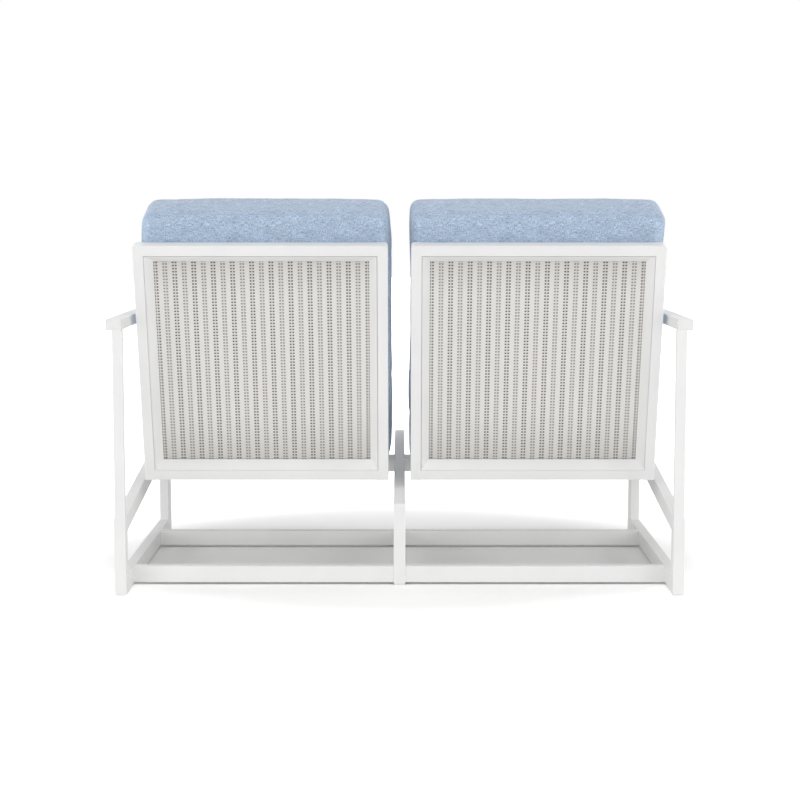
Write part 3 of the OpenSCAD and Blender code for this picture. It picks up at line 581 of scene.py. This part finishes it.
# Sizes of a cushion, and its place on the seat. The slope's own frame has its origin on the pivot,
# y to the rear along the slope and n square to it.
PIVOT_LIFT = 0.024
SEAT_LIFT = 0.018
BACK_TUBE_D = 0.034
SEAT_TUBE_H = 0.036
BACK_REACH = 0.296
FRONT_REACH = 0.288
CUSHION_GAP = 0.0004
CUSHION_T = 0.146
SEAT_CUSHION_L = 0.546
BACK_CUSHION_H = 0.514
BACK_FRAME_H = 0.6135
BACK_FOOT = 0.1745
CELL = 0.010
SEAM_STRIP = 0.004
# For each seat: the width of its cushions, where their middle lies across, and how far their sides
# draw in at the corners
CUTS = {"left": (0.608, 0.3228, 0.0115), "right": (0.616, -0.3318, 0.001)}
EDGE_ROUND = 0.021
START_SHARE = 0.985
CORNER_DRAW = 0.0095
DRAW_POWER = 5.0
SWELL_CAP = 0.012
SEAM_DEPTH = 0.0018
PUCKER = 0.0006
PUCKERS_PER_M = 38
FOLD = 1.6
FOLDS_PER_M = 9
PRESS_RISE = 0.10
PRESS_MOST = 0.014
OVERHANG_RISE = 0.2
OVERHANG_MOST = 0.006
BACK_SEED_STEP = 5
SIM_FRAMES = 20


def panelled_block(width, length, thick):
    """A closed box cut into even cells, with a narrow strip beside every seam."""
    bm = bmesh.new()
    bmesh.ops.create_cube(bm, size=1)
    bmesh.ops.scale(bm, vec=(width, length, thick), verts=bm.verts)
    for axis, size in enumerate((width, length, thick)):
        edges = [e for e in bm.edges if abs((e.verts[0].co - e.verts[1].co)[axis]) > size / 2]
        bmesh.ops.subdivide_edges(bm, edges=edges, cuts=round(size / CELL) - 1, use_grid_fill=True)
    for axis, size in enumerate((width, length, thick)):
        for sign in (-1, 1):
            cut = Vector((0, 0, 0))
            cut[axis] = sign * (size / 2 - SEAM_STRIP)
            across = Vector((0, 0, 0))
            across[axis] = sign
            whole = bm.verts[:] + bm.edges[:] + bm.faces[:]
            bmesh.ops.bisect_plane(bm, geom=whole, plane_co=cut, plane_no=across)
    return bm


def rounded(place, half):
    """Moves a place on the plain box onto a box with round edges."""
    signs = [-1 if c < 0 else 1 for c in place]
    past = Vector(max(0.0, abs(c) - h + EDGE_ROUND) for c, h in zip(place, half))
    arc = past.normalized() * max(past)
    return Vector(s * (abs(c) - p + a) for s, c, p, a in zip(signs, place, past, arc))


def seam_share(place, half):
    """One on a seam, falling to nothing a strip's width away."""
    inside = min(half.x - abs(place.x), half.y - abs(place.y))
    under = half.z - abs(place.z)
    return max(0.0, 1 - Vector((inside, under)).length / SEAM_STRIP)


def drawn(place, flat, half, side_draw):
    """Draws a place in towards the corners, so that each side of the outline bows out."""
    u, v = flat.x / half.x, flat.y / half.y
    in_x = u * abs(v) ** DRAW_POWER * side_draw
    in_y = v * abs(u) ** DRAW_POWER * CORNER_DRAW
    return place - Vector((in_x, in_y, 0))


def swell(block):
    """Blows the cover up like foam pressing from inside, and gives the new places of its points."""
    cover = block.modifiers.new("stuffing", "CLOTH")
    cover.settings.quality = 6
    cover.settings.mass = 0.3
    cover.settings.tension_stiffness = 20
    cover.settings.compression_stiffness = 15
    cover.settings.shear_stiffness = 8
    cover.settings.bending_stiffness = 1.5
    cover.settings.use_pressure = True
    cover.settings.uniform_pressure_force = 4
    cover.settings.effector_weights.gravity = 0
    cover.point_cache.frame_start = 1
    cover.point_cache.frame_end = SIM_FRAMES
    for step in range(1, SIM_FRAMES + 1):
        bpy.context.scene.frame_set(step)
    settled = block.evaluated_get(bpy.context.evaluated_depsgraph_get()).data
    places = [vert.co.copy() for vert in settled.vertices]
    bpy.context.scene.frame_set(1)
    block.modifiers.remove(cover)
    return places


def cushion(name, node, size, side_draw, place, body, limit, seed):
    """Cuts, stuffs and sews one cushion, sets it in place, and keeps it off what it rests on."""
    half = Vector(size) / 2
    bm = panelled_block(*size)
    rest = [vert.co.copy() for vert in bm.verts]
    for vert in bm.verts:
        vert.co = rounded(vert.co, half) * START_SHARE
    block = mesh_object(name, bm)
    start = [vert.co.copy() for vert in block.data.vertices]
    swollen = swell(block)
    drift = sum(((new - old) for new, old in zip(swollen, start)), Vector()) / len(start)
    bm = bmesh.new()
    bm.from_mesh(block.data)
    bm.verts.ensure_lookup_table()
    seam = bm.verts.layers.float.new("seam")
    cloth = bm.loops.layers.uv.new("cloth")
    for vert, flat, old, new in zip(bm.verts, rest, start, swollen):
        moved = new - drift - old
        if moved.length > SWELL_CAP:
            moved *= SWELL_CAP / moved.length
        vert.co = drawn(old + moved, flat, half, side_draw)
        vert[seam] = seam_share(flat, half)
    # The cover is cut to its size across and along, whatever the stuffing did
    reach = [max(abs(vert.co[axis]) for vert in bm.verts) for axis in range(2)]
    bmesh.ops.scale(bm, vec=(half.x / reach[0], half.y / reach[1], 1), verts=bm.verts)
    bm.normal_update()
    pulled = []
    for vert, old in zip(bm.verts, rest):
        ripple = noise.noise(old * PUCKERS_PER_M + Vector((seed, 0, 0))) * PUCKER
        ripple += noise.noise(old * FOLDS_PER_M + Vector((0, seed, 0))) * PUCKER * FOLD
        pulled.append(vert.normal * (ripple - SEAM_DEPTH * vert[seam]))
    for vert, pull in zip(bm.verts, pulled):
        vert.co += pull
    for face in bm.faces:
        middle = sum((rest[v.index] for v in face.verts), Vector()) / len(face.verts)
        edges = [h - abs(c) for h, c in zip(half, middle)]
        axis = edges.index(min(edges))
        for loop in face.loops:
            flat = rest[loop.vert.index]
            loop[cloth].uv = ((flat.y, flat.z), (flat.x, flat.z), (flat.x, flat.y))[axis]
    bmesh.ops.transform(bm, matrix=place, verts=bm.verts)
    for vert in bm.verts:
        vert.co = limit(vert.co)
    bm.to_mesh(block.data)
    bm.free()
    block.data.materials.append(blue_cloth)
    block.data.shade_smooth()
    finer = block.modifiers.new("smooth_cover", "SUBSURF")
    finer.levels = 1
    finer.render_levels = 1
    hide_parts(node)
    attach(block, body)


for side, seed in (("left", 3.0), ("right", 11.0)):
    joint = next(j for j in frame["joints"] if j["name"] == f"{side}_seat_rock")
    cushion_w, middle_x, side_draw = CUTS[side]
    shift = middle_x - joint["pos_m"][0]
    slope = Matrix.Translation(joint["pos_m"]) @ Matrix.Rotation(-SEAT_SLOPE, 4, "X")
    slope = slope @ Matrix.Translation((0, 0, -PIVOT_LIFT))
    back_foot = Matrix.Translation((0, BACK_REACH, SEAT_LIFT))
    back = slope @ back_foot @ Matrix.Rotation(-BACK_LEAN, 4, "X")
    deck_n = SEAT_LIFT + SEAT_TUBE_H + CUSHION_GAP
    top_n = deck_n + CUSHION_T
    rear_y = SEAT_CUSHION_L - FRONT_REACH
    to_slope, to_back = slope.inverted(), back.inverted()

    def contact_n(y):
        """Height at which the two cushions press on each other, at a place along the slope."""
        return top_n + min(PRESS_MOST, max(0.0, PRESS_RISE * (rear_y - y)))

    def on_seat(point):
        local = to_slope @ point
        local.z = max(local.z, deck_n)
        if local.y > rear_y - CUSHION_T:
            local.z = min(local.z, contact_n(local.y))
        return slope @ local

    def against_back(point):
        local = to_back @ point
        over = max(0.0, local.z - BACK_FRAME_H)
        bulge = min(OVERHANG_MOST, OVERHANG_RISE * over)
        local.y = min(local.y, -BACK_TUBE_D - CUSHION_GAP + bulge)
        tilted = to_slope @ (back @ local)
        tilted.z = max(tilted.z, contact_n(tilted.y) + CUSHION_GAP)
        return slope @ tilted

    seat_middle = (shift, rear_y - SEAT_CUSHION_L / 2, deck_n + CUSHION_T / 2)
    cushion(f"{side}_seat_cushion_cover", f"{side}_seat_cushion",
            (cushion_w, SEAT_CUSHION_L, CUSHION_T), side_draw,
            slope @ Matrix.Translation(seat_middle), f"{side}_seat", on_seat, seed)
    back_middle = (shift, -BACK_TUBE_D - CUSHION_GAP - CUSHION_T / 2, BACK_FOOT + BACK_CUSHION_H / 2)
    back_place = back @ Matrix.Translation(back_middle) @ Matrix.Rotation(pi / 2, 4, "X")
    cushion(f"{side}_back_cushion_cover", f"{side}_back_cushion",
            (cushion_w, BACK_CUSHION_H, CUSHION_T), side_draw,
            back_place, f"{side}_seat", against_back, seed + BACK_SEED_STEP)
